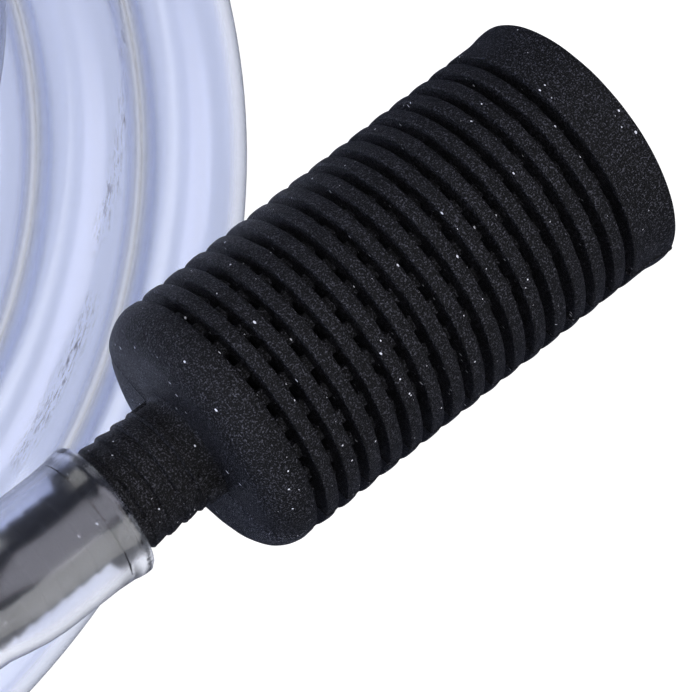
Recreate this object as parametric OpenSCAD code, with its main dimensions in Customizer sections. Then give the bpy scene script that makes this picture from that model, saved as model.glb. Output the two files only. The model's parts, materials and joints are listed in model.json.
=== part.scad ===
// Gravel vacuum siphon: a slotted suction strainer with a stepped barbed tail, a clear hose
// pushed over the tail and coiled flat, and a flow tap on the outlet end of the hose.
// The strainer leans on the coil, so its axis rises a few degrees towards the hose.

/* [Strainer cage] */
// Outside diameter of the collar at the open end
collar_d = 31.2; // [28:0.2:40]
// Outside diameter of the last ring, next to the shoulder
cage_end_d = 30.4; // [27:0.2:39]
// Length of the plain collar
collar_len = 5.9; // [5:0.1:9]
// How far the rim lip stands out from the collar
lip_h = 0.3; // [0.1:0.1:0.8]
// Length of the rim lip
lip_len = 1.2; // [0.8:0.1:2]
// Number of rings around the cage
ring_count = 15; // [6:1:24]
// Distance from one ring to the next
ring_pitch = 2.92; // [2.2:0.02:4]
// Width of one ring along the axis
ring_w = 1.66; // [1:0.02:2]
// Depth of the groove between two rings, down to the bars
groove_depth = 2.2; // [1.2:0.1:2.6]
// Number of straight bars under the rings
bar_count = 24; // [12:2:32]
// Width of one bar
bar_w = 1.8; // [1.2:0.1:2.4]
// Thickness of one bar
bar_t = 1.8; // [1.2:0.1:2.4]
// Slope of the strainer when it leans on the coil, in degrees
lean = 10; // [9.5:0.5:12]

/* [Shoulder and tail] */
// Length of the shoulder from the last groove to the neck
shoulder_len = 5.5; // [4:0.1:8]
// Radius of the rounded shoulder edge
shoulder_round = 3.9; // [2:0.1:4.5]
// Wall behind the shoulder face
shoulder_wall = 3.9; // [2.5:0.1:5]
// Crest diameter of the large barbs
barb_d = 12.8; // [11:0.1:16]
// Height of a barb above the neck
barb_h = 0.45; // [0.2:0.05:0.8]
// Distance from one barb to the next
barb_pitch = 2.12; // [1.6:0.02:3]
// Number of large barbs
barb_count = 5; // [3:1:10]
// Smooth neck in front of the first barb
neck_len = 2.4; // [1.5:0.1:5]
// Crest diameter of the small step
tip_d = 9.8; // [8:0.1:10.4]
// Number of barbs on the small step
tip_barb_count = 8; // [3:1:10]
// Water bore through the tail
tail_bore_d = 5.5; // [4:0.1:7]

/* [End cap] */
// Wall of the collar around the bore that takes the cap
collar_wall = 1.6; // [1.2:0.1:2.4]
// Depth of that bore
cap_bore_len = 4.6; // [4:0.1:6]
// Radial clearance of the cap in its bore
cap_clear = 0.05; // [0.02:0.01:0.1]
// Wall of the cap's skirt
cap_wall = 1.5; // [1:0.1:2]
// Thickness of the cap's disc
cap_disc_t = 1.4; // [1:0.1:2]
// How far the cap sits inside the rim
cap_recess = 0.4; // [0.2:0.1:1]
// Number of slots in the cap's disc
cap_slot_count = 8; // [4:1:12]
// Width of one slot
cap_slot_w = 1.8; // [1:0.1:2.4]

/* [Valve] */
// Diameter of the valve ball
ball_d = 9; // [8:0.2:9.4]
// Gap between the ball and the wall of its chamber
chamber_clear = 0.7; // [0.5:0.05:0.8]
// Wall of the tube around the chamber
chamber_wall = 1.8; // [1.2:0.1:2.2]
// Water bore through the valve seat
seat_bore_d = 7; // [5:0.1:7.4]
// Thickness of the valve seat
seat_t = 3; // [2:0.1:4]
// How far the ball lifts off its seat
ball_lift = 2; // [1:0.1:3]
// Thickness of the stop that holds the ball
stop_t = 1.5; // [1:0.1:2]
// Width of each arm of the stop
stop_arm_w = 1.4; // [1:0.1:2]
// Small gap between the ball and what it rests on
ball_gap = 0.03; // [0.02:0.01:0.05]

/* [Hose] */
// Outside diameter of the hose
hose_d = 12; // [11:0.1:13]
// Bore of the hose
hose_bore_d = 9; // [8:0.1:9.6]
// How far the hose's lip stands out from the hose that is stretched over the tail
hose_lip_stand = 0.4; // [0.2:0.05:0.8]
// Barbs left in sight in front of the hose
barbs_in_sight = 4; // [2:1:5]
// Width of the clamp's band on the tap's barb
clamp_w = 6; // [4:0.5:8]
// Thickness of that band
clamp_t = 0.8; // [0.5:0.1:1.2]

/* [Coil ties] */
// Width of a coil tie
tie_w = 10; // [6:1:16]
// Thickness of a coil tie
tie_t = 0.7; // [0.5:0.1:1]

/* [Tap] */
// Wall of the tap's upright barrel around the plug
barrel_wall = 2.25; // [2:0.05:3]
// Height of the barrel
barrel_h = 15; // [14.6:0.1:18]
// How far the pipe stands out from the barrel on each side
pipe_stand = 0.8; // [0.6:0.1:2]
// Gap between the hose at the tap and the surface
tap_lift = 1; // [0.9:0.1:1.2]
// Length of the inlet barb and of the outlet spout
spout_len = 12; // [10:0.5:12.5]
// Outside diameter of the outlet spout
spout_d = 9; // [8:0.1:9.4]
// Water bore through the tap
flow_d = 5; // [4:0.1:5.6]
// Diameter of the turning plug
plug_d = 9.8; // [9.4:0.1:10]
// Radial clearance of the plug in its barrel
plug_clear = 0.05; // [0.02:0.01:0.1]
// Length of the lever from the plug's axis
lever_len = 22; // [14:0.5:24]
// Width of the lever
lever_w = 6.4; // [5:0.1:8]
// Thickness of the lever
lever_t = 3.2; // [2.5:0.1:4]

/* [Hidden] */
$fn = 96;

black_plastic = [0.09, 0.09, 0.1];
clear_vinyl = [0.78, 0.82, 0.92, 0.6];
tap_black = [0.07, 0.07, 0.08];
lever_blue = [0.12, 0.37, 0.69];
seal_black = [0.15, 0.15, 0.15];
steel = [0.72, 0.73, 0.75];
nylon_white = [0.9, 0.9, 0.86];

// How far a cutter runs past what it cuts.
past = 1;

// Strainer profile, measured along its axis from the rim.
collar_r = collar_d / 2;
cage_end_r = cage_end_d / 2;
lip_r = collar_r + lip_h;
cap_bore_r = collar_r - collar_wall;
gap_w = ring_pitch - ring_w;
cage_end = collar_len + ring_count * ring_pitch + gap_w;
neck_start = cage_end + shoulder_len;
barb_r = barb_d / 2;
neck_r = barb_r - barb_h;
first_barb = neck_start + neck_len;
last_barb = first_barb + (barb_count - 1) * barb_pitch;
tip_r = tip_d / 2;
tip_neck_r = tip_r - barb_h / 2;
step_drop = 2.4;
tip_start = last_barb + step_drop;
tip_end_len = 1;
tail_end = tip_start + tip_barb_count * barb_pitch + tip_end_len;
tail_bore_r = tail_bore_d / 2;
barb_fall = 0.35;
barb_land = 0.2;
barb_lead_in = 0.7;
bar_root = 0.2;
bar_out_r = min(collar_r, cage_end_r) - groove_depth + bar_root;
bar_in_r = bar_out_r - bar_t;
ring_overlap = 0.4;
ring_chamfer = 0.25;
shoulder_cone = 0.6;
shoulder_flat = 0.4;
shoulder_sweep = 82;
pocket_chamfer = 1;
merge = 0.5;

// Valve, measured along the same axis.
ball_r = ball_d / 2;
chamber_r = ball_r + chamber_clear;
stop_behind = 1.6;
stop_end = neck_start - stop_behind;
stop_ring_w = 1;
stop_start = stop_end - stop_t;
seat_bore_r = seat_bore_d / 2;
ball_rise = sqrt(pow(ball_r + ball_gap, 2) - pow(seat_bore_r, 2));
ball_rest = stop_start - ball_gap - ball_lift - ball_r;
seat_end = ball_rest - ball_rise;
seat_start = seat_end - seat_t;

// End cap, measured along the same axis.
cap_skirt_r = cap_bore_r - cap_clear;
cap_skirt_end = cap_bore_len - 0.1;
cap_disc_z = cap_recess + 1.5;
cap_bar_w = 2;
cap_slot_in_r = 0.42 * cap_skirt_r;
cap_slot_out_r = 0.78 * cap_skirt_r;

// Place of the strainer: its lip stands on the surface and its box is centred on the origin.
rim_z = lip_r * cos(lean);
rim_x = (tail_end * cos(lean) + (tip_neck_r - lip_r) * sin(lean)) / 2;

// Hose end on the tail.
hose_r = hose_d / 2;
hose_bore_r = hose_bore_d / 2;
barb_sink = 0.04;
stretched_bore_r = barb_r - barb_sink;
stretched_r = sqrt(pow(stretched_bore_r, 2) + pow(hose_r, 2) - pow(hose_bore_r, 2));
hose_lip_r = stretched_r + hose_lip_stand;
lip_gap = 1.5;
lip_edge = 0.4;
lip_fall = 2;
taper_len = 8.4;
grip_len = 1.2;
barb_bite = 0.2;
bite_r = barb_r - barb_bite;
tip_bite_r = tip_r - barb_bite;
lip_face = first_barb + (barbs_in_sight - 1) * barb_pitch + lip_gap;
taper_start = tail_end - taper_len;

// Coil and route of the hose. The route points are in millimetres on the object's own axes.
coil_x = -53;
coil_y = 83.2;
coil_r = 84;
coil_rows = 3;
top_turn_r = coil_r - 1.5 * hose_d;
top_turn_z = 16.5;
coil_in_r = coil_r - (coil_rows - 0.5) * hose_d;
coil_out_r = coil_r + hose_r;
tube_sides = 12;
arc_steps = 6;
tie_left_angle = 150;
tie_right_angle = 60;
tie_sides = 32;
lead_points = [[-50, -0.3, 31.6], [-57, -0.6, 31.7], [-64.7, 0, 30.9], [-73.3, 1.7, 29.2],
               [-81.7, 4.3, 26.7], [-89.8, 7.7, 23.6], [-97.5, 12, 20.1], [-104.7, 17, 16.6],
               [-111.4, 22.8, 13.3], [-117.3, 28.9, 10.4]];
run_points = [[0, 56.7, 18], [-6, 50.4, 17.9], [-13, 45.4, 17.3], [-21, 41.7, 15.8],
              [-29, 39.5, 13.2], [-38, 38.7, 10.3], [-46.7, 39.5, 7.8], [-55, 41.7, 7]];

// Tap: it lies flat inside the coil, with its flow along its own X axis.
tap_x = -80.3;
tap_y = 55.4;
tap_turn = 150;
tap_axis_z = hose_r + tap_lift;
plug_r = plug_d / 2;
plug_bore_r = plug_r + plug_clear;
barrel_r = plug_bore_r + barrel_wall;
half_len = barrel_r + pipe_stand;
flow_r = flow_d / 2;
spout_r = spout_d / 2;
pipe_r = 5.6;
tap_barb_count = 4;
tap_barb_pitch = 2.6;
tap_barb_r = spout_r + 0.35;
tap_barb_root_r = spout_r - 0.1;
tap_barb_tip_r = spout_r - 0.6;
seal_r = 0.75;
seal_mid_r = plug_r - seal_r;
seal_low_z = 3.3;
seal_high_z = barrel_h - 2.4;
seal_sides = 24;
groove_half = seal_r + 0.05;
groove_r = seal_mid_r - seal_r - 0.01;
plug_low_z = 0.3;
clip_z = 0.5;
clip_slot_h = 1;
clip_slack = 0.05;
clip_t = clip_slot_h - 2 * clip_slack;
clip_gap = 2.4;
clip_pocket_r = plug_bore_r + 1.25;
clip_pocket_h = 1.9;
clip_r = clip_pocket_r - 0.4;
clip_groove_r = plug_r - 0.8;
clip_grip_r = clip_groove_r + 0.02;
plug_collar_t = 1;
plug_collar_r = plug_bore_r + 1.05;
plug_collar_gap = 0.05;
lever_z = barrel_h + plug_collar_t + 0.1;
lever_hub_h = 4.6;
lever_rise = 0.6;
stem_r = 3;
stem_fit = 0.01;
stem_short = 0.2;
hub_top = lever_z + lever_hub_h;
screw_r = 1.3;
screw_head_r = 4.2;
screw_head_h = 1.4;
screw_depth = 7;
screw_end_gap = 0.6;
cross_w = 0.8;
cross_len = 5.2;
cross_depth = 0.6;

// Clamp on the tap's barb.
clamp_in_r = hose_r + 0.25;
clamp_mid_x = -half_len - spout_len / 2;
clamp_screw_r = 1.55;
clamp_screw_len = 9;
clamp_hole_r = clamp_screw_r + 0.05;
clamp_head_r = 2.4;
clamp_head_h = 2.4;
clamp_head_z = 3.1;
clamp_slot_w = 0.8;
clamp_slot_depth = 1;
clamp_screw_z = clamp_in_r + clamp_t + 1.7;
ear_w = 6;
ear_top = clamp_screw_z + 2.2;

function saw(start, pitch, count, crest, root) = [
    for (i = [0 : count - 1], p = [[crest, 0], [root, barb_fall]])
        [p[0], start + (i + p[1]) * pitch]];

function arc(cx, cy, r, from, to, steps) = [
    for (i = [0 : steps]) let (a = from + (to - from) * i / steps) [cx + r * cos(a), cy + r * sin(a)]];

// Unit vector, and the four corners of a swept tube's moving cross-section.
function unit(v) = v / norm(v);
function along(p, i) = unit(p[min(i + 1, len(p) - 1)] - p[max(i - 1, 0)]);
function ring_at(p, i, r, sides) =
    let (t = along(p, i), side = unit(cross(t, [0, 0, 1])), up = cross(side, t))
    [for (k = [0 : sides - 1]) p[i] + r * (cos(360 * k / sides) * side + sin(360 * k / sides) * up)];

module tube(points, r, sides) {
    rings = len(points);
    corners = [for (i = [0 : rings - 1]) each ring_at(points, i, r, sides)];
    walls = [for (i = [0 : rings - 2], k = [0 : sides - 1])
        let (n = (k + 1) % sides)
        each [[i * sides + k, i * sides + n, (i + 1) * sides + n],
              [i * sides + k, (i + 1) * sides + n, (i + 1) * sides + k]]];
    first = [for (k = [sides - 1 : -1 : 0]) k];
    last = [for (k = [0 : sides - 1]) (rings - 1) * sides + k];
    polyhedron(points = corners, faces = concat([first], walls, [last]), convexity = 6);
}

// Puts a piece that is drawn along +Z from the rim into the strainer's leaning place.
module on_strainer() {
    translate([rim_x, 0, rim_z]) rotate([0, lean - 90, 0]) children();
}

module on_tap() {
    translate([tap_x, tap_y, 0]) rotate([0, 0, tap_turn]) children();
}

module collar_profile() {
    polygon([[cap_bore_r, 0], [lip_r, 0], [lip_r, lip_len], [collar_r, lip_len + lip_h],
             [collar_r, collar_len], [bar_in_r, collar_len], [bar_in_r, cap_bore_len],
             [cap_bore_r, cap_bore_len]]);
}

module ring_profile(i) {
    z = collar_len + gap_w + i * ring_pitch;
    r = collar_r + (cage_end_r - collar_r) * (i + 1) / (ring_count + 1);
    polygon([[bar_in_r + ring_overlap, z], [r - ring_chamfer, z], [r, z + ring_chamfer],
             [r, z + ring_w - ring_chamfer], [r - ring_chamfer, z + ring_w],
             [bar_in_r + ring_overlap, z + ring_w]]);
}

module tail_profile() {
    round_r = min(shoulder_round, shoulder_len - shoulder_cone - shoulder_flat);
    pocket_end = neck_start - shoulder_wall;
    outer = concat(
        [[cage_end_r, cage_end]],
        arc(cage_end_r - round_r, neck_start - shoulder_cone - round_r, round_r, 0, shoulder_sweep, 8),
        [[neck_r + merge, neck_start], [neck_r, neck_start + merge], [neck_r, first_barb - barb_lead_in]],
        saw(first_barb, barb_pitch, barb_count, barb_r, neck_r),
        [[neck_r, last_barb + barb_fall * barb_pitch + barb_land], [tip_neck_r, tip_start]],
        saw(tip_start + barb_pitch, barb_pitch, tip_barb_count - 1, tip_r, tip_neck_r),
        [[tip_neck_r, tail_end], [tail_bore_r, tail_end]]);
    inner = [[tail_bore_r, stop_end], [chamber_r, stop_end], [chamber_r, seat_start],
             [chamber_r + chamber_wall, seat_start], [chamber_r + chamber_wall, pocket_end],
             [bar_in_r - pocket_chamfer, pocket_end], [bar_in_r, pocket_end - pocket_chamfer],
             [bar_in_r, cage_end]];
    polygon(concat(outer, inner));
}

module strainer_body() {
    color(black_plastic) on_strainer() union() {
        rotate_extrude() {
            collar_profile();
            for (i = [0 : ring_count - 1]) ring_profile(i);
            tail_profile();
        }
        for (i = [0 : bar_count - 1]) rotate([0, 0, i * 360 / bar_count])
            translate([bar_in_r, -bar_w / 2, collar_len - merge])
                cube([bar_t, bar_w, cage_end - collar_len + 2 * merge]);
    }
}

module end_cap() {
    color(black_plastic) on_strainer() difference() {
        union() {
            rotate_extrude() polygon([
                [cap_skirt_r - cap_wall, cap_recess], [cap_skirt_r, cap_recess],
                [cap_skirt_r, cap_skirt_end], [cap_skirt_r - cap_wall, cap_skirt_end]]);
            translate([0, 0, cap_disc_z]) cylinder(h = cap_disc_t, r = cap_skirt_r - cap_wall / 2);
            translate([-cap_bar_w / 2, cap_wall / 2 - cap_skirt_r, cap_recess])
                cube([cap_bar_w, 2 * cap_skirt_r - cap_wall, cap_disc_z - cap_recess + merge]);
        }
        for (i = [0 : cap_slot_count - 1]) rotate([0, 0, (i + 0.5) * 360 / cap_slot_count])
            translate([cap_slot_in_r, -cap_slot_w / 2, 0])
                cube([cap_slot_out_r - cap_slot_in_r, cap_slot_w, cap_bore_len]);
    }
}

module valve_seat() {
    color(nylon_white) on_strainer()
        rotate_extrude() polygon([[seat_bore_r, seat_start], [chamber_r, seat_start],
                                  [chamber_r, seat_end], [seat_bore_r, seat_end]]);
}

module valve_ball() {
    color(nylon_white) on_strainer() translate([0, 0, ball_rest]) sphere(r = ball_r);
}

module valve_stop() {
    color(nylon_white) on_strainer() translate([0, 0, stop_start]) union() {
        difference() {
            cylinder(h = stop_t, r = chamber_r);
            translate([0, 0, -past]) cylinder(h = stop_t + 2 * past, r = chamber_r - stop_ring_w);
        }
        for (i = [0 : 2]) rotate([0, 0, i * 120]) translate([0, -stop_arm_w / 2, 0])
            cube([chamber_r - stop_ring_w / 2, stop_arm_w, stop_t]);
    }
}

// The stretched hose keeps the cross-section of its wall, so its bore follows its outside.
module hose_end() {
    color(clear_vinyl) on_strainer() rotate_extrude() polygon([
        [bite_r, lip_face], [hose_lip_r - lip_edge, lip_face], [hose_lip_r, lip_face + lip_edge],
        [stretched_r, lip_face + lip_fall], [stretched_r, taper_start], [hose_r, tail_end],
        [tip_bite_r, tail_end], [tip_bite_r, tail_end - grip_len],
        [bite_r, taper_start], [bite_r, last_barb + lip_edge]]);
}

module hose_lead() {
    start = [rim_x - tail_end * cos(lean), 0, rim_z + tail_end * sin(lean)];
    color(clear_vinyl) tube(concat([start], lead_points), hose_r, tube_sides);
}

module hose_coil() {
    r = hose_r;
    color(clear_vinyl) translate([coil_x, coil_y, 0]) rotate_extrude() polygon(concat(
        arc(coil_in_r + r, r, r, 180, 270, arc_steps), arc(coil_out_r - r, r, r, 270, 450, 2 * arc_steps),
        arc(top_turn_r, top_turn_z, r, 0, 180, 2 * arc_steps), [[coil_in_r + r, 2 * r]],
        arc(coil_in_r + r, r, r, 90, 180, arc_steps)));
}

module hose_run() {
    hose_stop = half_len + spout_len;
    turn = [cos(tap_turn), sin(tap_turn), 0];
    tap_axis = [tap_x, tap_y, tap_axis_z];
    color(clear_vinyl) tube(concat(run_points, [tap_axis - hose_stop * turn,
        tap_axis - (half_len + spout_len / 2) * turn, tap_axis - half_len * turn]),
        hose_r, tube_sides);
}

// Outline of the stacked turns, grown by a margin.
module turns_outline(margin) {
    intersection() {
        hull() {
            translate([coil_in_r + hose_r, hose_r]) circle(r = hose_r + margin, $fn = tie_sides);
            translate([coil_r, hose_r]) circle(r = hose_r + margin, $fn = tie_sides);
            translate([top_turn_r, top_turn_z]) circle(r = hose_r + margin, $fn = tie_sides);
        }
        translate([0, tie_t - margin]) square([coil_out_r + tie_w, 4 * hose_d]);
    }
}

module coil_tie(angle) {
    color(black_plastic) translate([coil_x, coil_y, 0]) rotate([0, 0, angle])
        rotate([90, 0, 0]) translate([0, 0, -tie_w / 2]) linear_extrude(tie_w) difference() {
            turns_outline(tie_t);
            turns_outline(0);
        }
}

module coil_tie_left() {
    coil_tie(tie_left_angle);
}

module coil_tie_right() {
    coil_tie(tie_right_angle);
}

module hose_clamp() {
    color(steel) on_tap() translate([clamp_mid_x, 0, tap_axis_z]) difference() {
        union() {
            rotate([0, 90, 0]) cylinder(h = clamp_w, r = clamp_in_r + clamp_t, center = true);
            translate([-clamp_w / 2, -ear_w / 2, clamp_in_r]) cube([clamp_w, ear_w, ear_top - clamp_in_r]);
        }
        rotate([0, 90, 0]) cylinder(h = clamp_w + 2 * past, r = clamp_in_r, center = true);
        translate([0, 0, clamp_screw_z]) rotate([90, 0, 0])
            cylinder(h = ear_w + 2 * past, r = clamp_hole_r, center = true);
        // The band is filed flat where it lies on the surface.
        translate([-clamp_w, -clamp_in_r, -tap_axis_z - past]) cube([2 * clamp_w, 2 * clamp_in_r, past]);
    }
}

module clamp_screw() {
    head_end = clamp_head_z + clamp_head_h;
    color(steel) on_tap() translate([clamp_mid_x, 0, tap_axis_z + clamp_screw_z])
        rotate([90, 0, 0]) difference() {
            union() {
                cylinder(h = clamp_screw_len, r = clamp_screw_r, center = true);
                translate([0, 0, clamp_head_z]) cylinder(h = clamp_head_h, r = clamp_head_r);
            }
            translate([-clamp_slot_w / 2, -clamp_head_r - past, head_end - clamp_slot_depth])
                cube([clamp_slot_w, 2 * clamp_head_r + 2 * past, clamp_slot_depth + past]);
        }
}

// Turns what is drawn along +Z so that it runs along the tap's flow.
module along_flow() {
    translate([0, 0, tap_axis_z]) rotate([0, 90, 0]) children();
}

module tap_body() {
    inlet = half_len + spout_len;
    barbs = saw(past - inlet, tap_barb_pitch, tap_barb_count, tap_barb_r, tap_barb_root_r);
    color(tap_black) on_tap() difference() {
        union() {
            cylinder(h = barrel_h, r = barrel_r);
            along_flow() cylinder(h = 2 * half_len, r = pipe_r, center = true);
            along_flow() translate([0, 0, half_len - merge]) cylinder(h = spout_len + merge, r = spout_r);
            along_flow() rotate_extrude() polygon(concat([[0, -inlet], [tap_barb_tip_r, -inlet]], barbs,
                [[tap_barb_root_r, merge - half_len], [0, merge - half_len]]));
        }
        along_flow() cylinder(h = 2 * inlet + 2 * past, r = flow_r, center = true);
        translate([0, 0, -past]) cylinder(h = barrel_h + 2 * past, r = plug_bore_r);
        translate([0, 0, -past]) cylinder(h = clip_pocket_h + past, r = clip_pocket_r);
    }
}

module tap_plug() {
    low = seal_low_z - groove_half;
    high = seal_high_z - groove_half;
    collar_z = barrel_h + plug_collar_gap;
    stem_top = hub_top - stem_short;
    color(nylon_white) on_tap() difference() {
        rotate_extrude() polygon([[0, plug_low_z], [plug_r, plug_low_z], [plug_r, clip_z],
            [clip_groove_r, clip_z], [clip_groove_r, clip_z + clip_slot_h], [plug_r, clip_z + clip_slot_h],
            [plug_r, low], [groove_r, low], [groove_r, low + 2 * groove_half],
            [plug_r, low + 2 * groove_half], [plug_r, high], [groove_r, high],
            [groove_r, high + 2 * groove_half], [plug_r, high + 2 * groove_half], [plug_r, collar_z],
            [plug_collar_r, collar_z], [plug_collar_r, barrel_h + plug_collar_t],
            [stem_r, barrel_h + plug_collar_t], [stem_r, stem_top], [0, stem_top]]);
        along_flow() cylinder(h = 4 * plug_r, r = flow_r, center = true);
        translate([0, 0, hub_top - screw_depth]) cylinder(h = screw_depth, r = screw_r);
    }
}

module plug_seal(z) {
    color(seal_black) on_tap()
        rotate_extrude() translate([seal_mid_r, z]) circle(r = seal_r, $fn = seal_sides);
}

module plug_seal_upper() {
    plug_seal(seal_high_z);
}

module plug_seal_lower() {
    plug_seal(seal_low_z);
}

module plug_clip() {
    color(steel) on_tap() translate([0, 0, clip_z + clip_slack]) difference() {
        cylinder(h = clip_t, r = clip_r);
        translate([0, 0, -past]) cylinder(h = clip_t + 2 * past, r = clip_grip_r);
        translate([0, -clip_gap / 2, -past]) cube([clip_pocket_r, clip_gap, clip_t + 2 * past]);
    }
}

module tap_lever() {
    arm_len = lever_len - lever_w / 2;
    arm_z = lever_z + lever_rise;
    color(lever_blue) on_tap() difference() {
        union() {
            translate([0, 0, lever_z]) cylinder(h = lever_hub_h, r = plug_collar_r);
            translate([0, -lever_w / 2, arm_z]) cube([arm_len, lever_w, lever_t]);
            translate([arm_len, 0, arm_z]) cylinder(h = lever_t, r = lever_w / 2);
        }
        translate([0, 0, lever_z - past]) cylinder(h = lever_hub_h + 2 * past, r = stem_r + stem_fit);
    }
}

module lever_screw() {
    cross_z = screw_head_h - cross_depth;
    color(steel) on_tap() translate([0, 0, hub_top]) difference() {
        union() {
            translate([0, 0, screw_end_gap - screw_depth])
                cylinder(h = screw_depth, r = screw_r - stem_fit);
            translate([0, 0, 2 * stem_fit]) cylinder(h = screw_head_h, r = screw_head_r);
        }
        translate([-cross_len / 2, -cross_w / 2, cross_z]) cube([cross_len, cross_w, past]);
        translate([-cross_w / 2, -cross_len / 2, cross_z]) cube([cross_w, cross_len, past]);
    }
}

strainer_body();
end_cap();
valve_seat();
valve_ball();
valve_stop();
hose_end();
hose_lead();
hose_coil();
hose_run();
coil_tie_left();
coil_tie_right();
hose_clamp();
clamp_screw();
tap_body();
tap_plug();
plug_seal_upper();
plug_seal_lower();
plug_clip();
tap_lever();
lever_screw();
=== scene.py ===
"""Looks of a gravel vacuum siphon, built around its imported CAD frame.

The strainer is a black polypropylene moulding whose barbed tail carries a clear vinyl hose.
The hose lies in a flat coil and ends in a small flow tap inside the coil.
Lengths are in metres; values that end in _mm are millimetres and are turned to metres by MM.
"""

import json
import logging
import math
from collections.abc import Callable
from dataclasses import dataclass, field
from enum import Enum

import bmesh
import bpy
import numpy as np
from mathutils import Matrix, Vector, noise

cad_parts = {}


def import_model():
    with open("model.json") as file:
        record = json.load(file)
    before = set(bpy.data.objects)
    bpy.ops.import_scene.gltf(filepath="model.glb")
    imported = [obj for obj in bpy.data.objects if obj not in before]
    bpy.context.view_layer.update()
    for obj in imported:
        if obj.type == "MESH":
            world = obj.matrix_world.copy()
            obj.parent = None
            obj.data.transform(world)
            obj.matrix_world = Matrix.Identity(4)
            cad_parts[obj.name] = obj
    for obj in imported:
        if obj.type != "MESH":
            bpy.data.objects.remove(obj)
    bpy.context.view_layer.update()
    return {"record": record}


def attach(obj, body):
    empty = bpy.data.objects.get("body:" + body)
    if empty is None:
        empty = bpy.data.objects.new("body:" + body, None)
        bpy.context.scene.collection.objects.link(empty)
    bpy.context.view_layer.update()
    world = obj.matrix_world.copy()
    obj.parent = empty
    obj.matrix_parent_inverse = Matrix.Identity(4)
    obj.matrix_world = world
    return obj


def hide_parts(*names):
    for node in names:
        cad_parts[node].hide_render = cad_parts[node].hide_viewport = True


MM = 0.001
COIL_CENTRE_MM = (-53.0, 83.2)
LOG = logging.getLogger("siphon")
Material = bpy.types.Material
Node = bpy.types.Node
Piece = bpy.types.Object
Pair = tuple[float, float]
Point = tuple[float, float, float]
Profile = list[Pair]
Faces = list[tuple[int, ...]]
# Takes an outline, its normals and the angles; gives how far each point stands out.
Lift = Callable[[np.ndarray, np.ndarray, np.ndarray], np.ndarray]


class Slot(Enum):
    """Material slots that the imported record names."""

    BLACK_PP = "black_pp"
    CLEAR_PVC = "clear_pvc"
    WHITE_NYLON = "white_nylon"
    TIE_STRAP = "tie_strap"
    STEEL = "steel"
    TAP_SHELL = "tap_shell"
    TAP_HANDLE = "tap_handle"
    SEAL_RUBBER = "seal_rubber"


def linear(hex_colour: str) -> tuple[float, float, float, float]:
    """Turns an sRGB hex colour into linear RGBA.

    Args:
        hex_colour: Six hex digits, with or without a leading hash.

    Returns:
        Linear red, green, blue and an alpha of 1.
    """
    digits = hex_colour.lstrip("#")
    channels = [int(digits[i : i + 2], 16) / 255 for i in (0, 2, 4)]
    red, green, blue = (
        c / 12.92 if c <= 0.04045 else ((c + 0.055) / 1.055) ** 2.4 for c in channels
    )
    return red, green, blue, 1.0


def smoothstep(low: float, high: float, x: float) -> float:
    """Gives 0 below low, 1 above high and a smooth ramp between them.

    Args:
        low: Where the ramp starts.
        high: Where the ramp ends.
        x: The value to place on the ramp.

    Returns:
        A number from 0 to 1.
    """
    t = min(1.0, max(0.0, (x - low) / (high - low)))
    return t * t * (3 - 2 * t)


def add_node(
    material: Material | bpy.types.World, kind: str, settings: dict | None = None, inputs: dict | None = None
) -> Node:
    """Adds one shader node, sets it up and links what feeds it.

    Args:
        material: The material or world whose node tree takes the node.
        kind: Blender's type name of the node, without its ShaderNode prefix.
        settings: Attributes of the node, by name.
        inputs: Socket name or index to a constant, to an output socket, or to a node whose
            first output feeds it.

    Returns:
        The new node.
    """
    tree = material.node_tree
    node = tree.nodes.new("ShaderNode" + kind)
    for name, value in (settings or {}).items():
        setattr(node, name, value)
    for name, value in (inputs or {}).items():
        source = value.outputs[0] if isinstance(value, Node) else value
        if isinstance(source, bpy.types.NodeSocket):
            tree.links.new(source, node.inputs[name])
        else:
            node.inputs[name].default_value = source
    return node


def new_material(name: str) -> Material:
    """Makes a material with no nodes in its tree.

    Args:
        name: Name of the material.

    Returns:
        The material.
    """
    material = bpy.data.materials.new(name)
    material.use_nodes = True
    material.node_tree.nodes.clear()
    return material


def finish_material(material: Material, shader: Node) -> Material:
    """Links a shader to the material's output and returns the material."""
    add_node(material, "OutputMaterial", inputs={"Surface": shader})
    return material


def add_object(name: str, data: bpy.types.ID) -> Piece:
    """Puts new data into the scene.

    Args:
        name: Name of the object.
        data: The mesh, light or camera that it shows.

    Returns:
        The object.
    """
    thing = bpy.data.objects.new(name, data)
    bpy.context.scene.collection.objects.link(thing)
    return thing


def run_along(line: np.ndarray) -> np.ndarray:
    """Gives the distance of each point of a line from its start."""
    return np.concatenate([[0], np.cumsum(np.linalg.norm(np.diff(line, axis=0), axis=1))])


def sample_line(line: np.ndarray, wanted: np.ndarray) -> np.ndarray:
    """Gives the points of a line at the wanted distances from its start."""
    run = run_along(line)
    return np.stack([np.interp(wanted, run, axis) for axis in line.T], axis=1)


def band(rows: int, columns: int, closed: bool) -> Faces:
    """Gives the faces between rows of points, where each row is a closed loop.

    Args:
        rows: Number of rows.
        columns: Number of points in a row.
        closed: Whether the last row joins the first.

    Returns:
        Tuples of indices, row by row.
    """
    faces = []
    for i in range(rows if closed else rows - 1):
        shift = ((i + 1) % rows - i) * columns
        for k in range(columns):
            a, b = i * columns + k, i * columns + (k + 1) % columns
            faces.append((a, b, b + shift, a + shift))
    return faces


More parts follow.
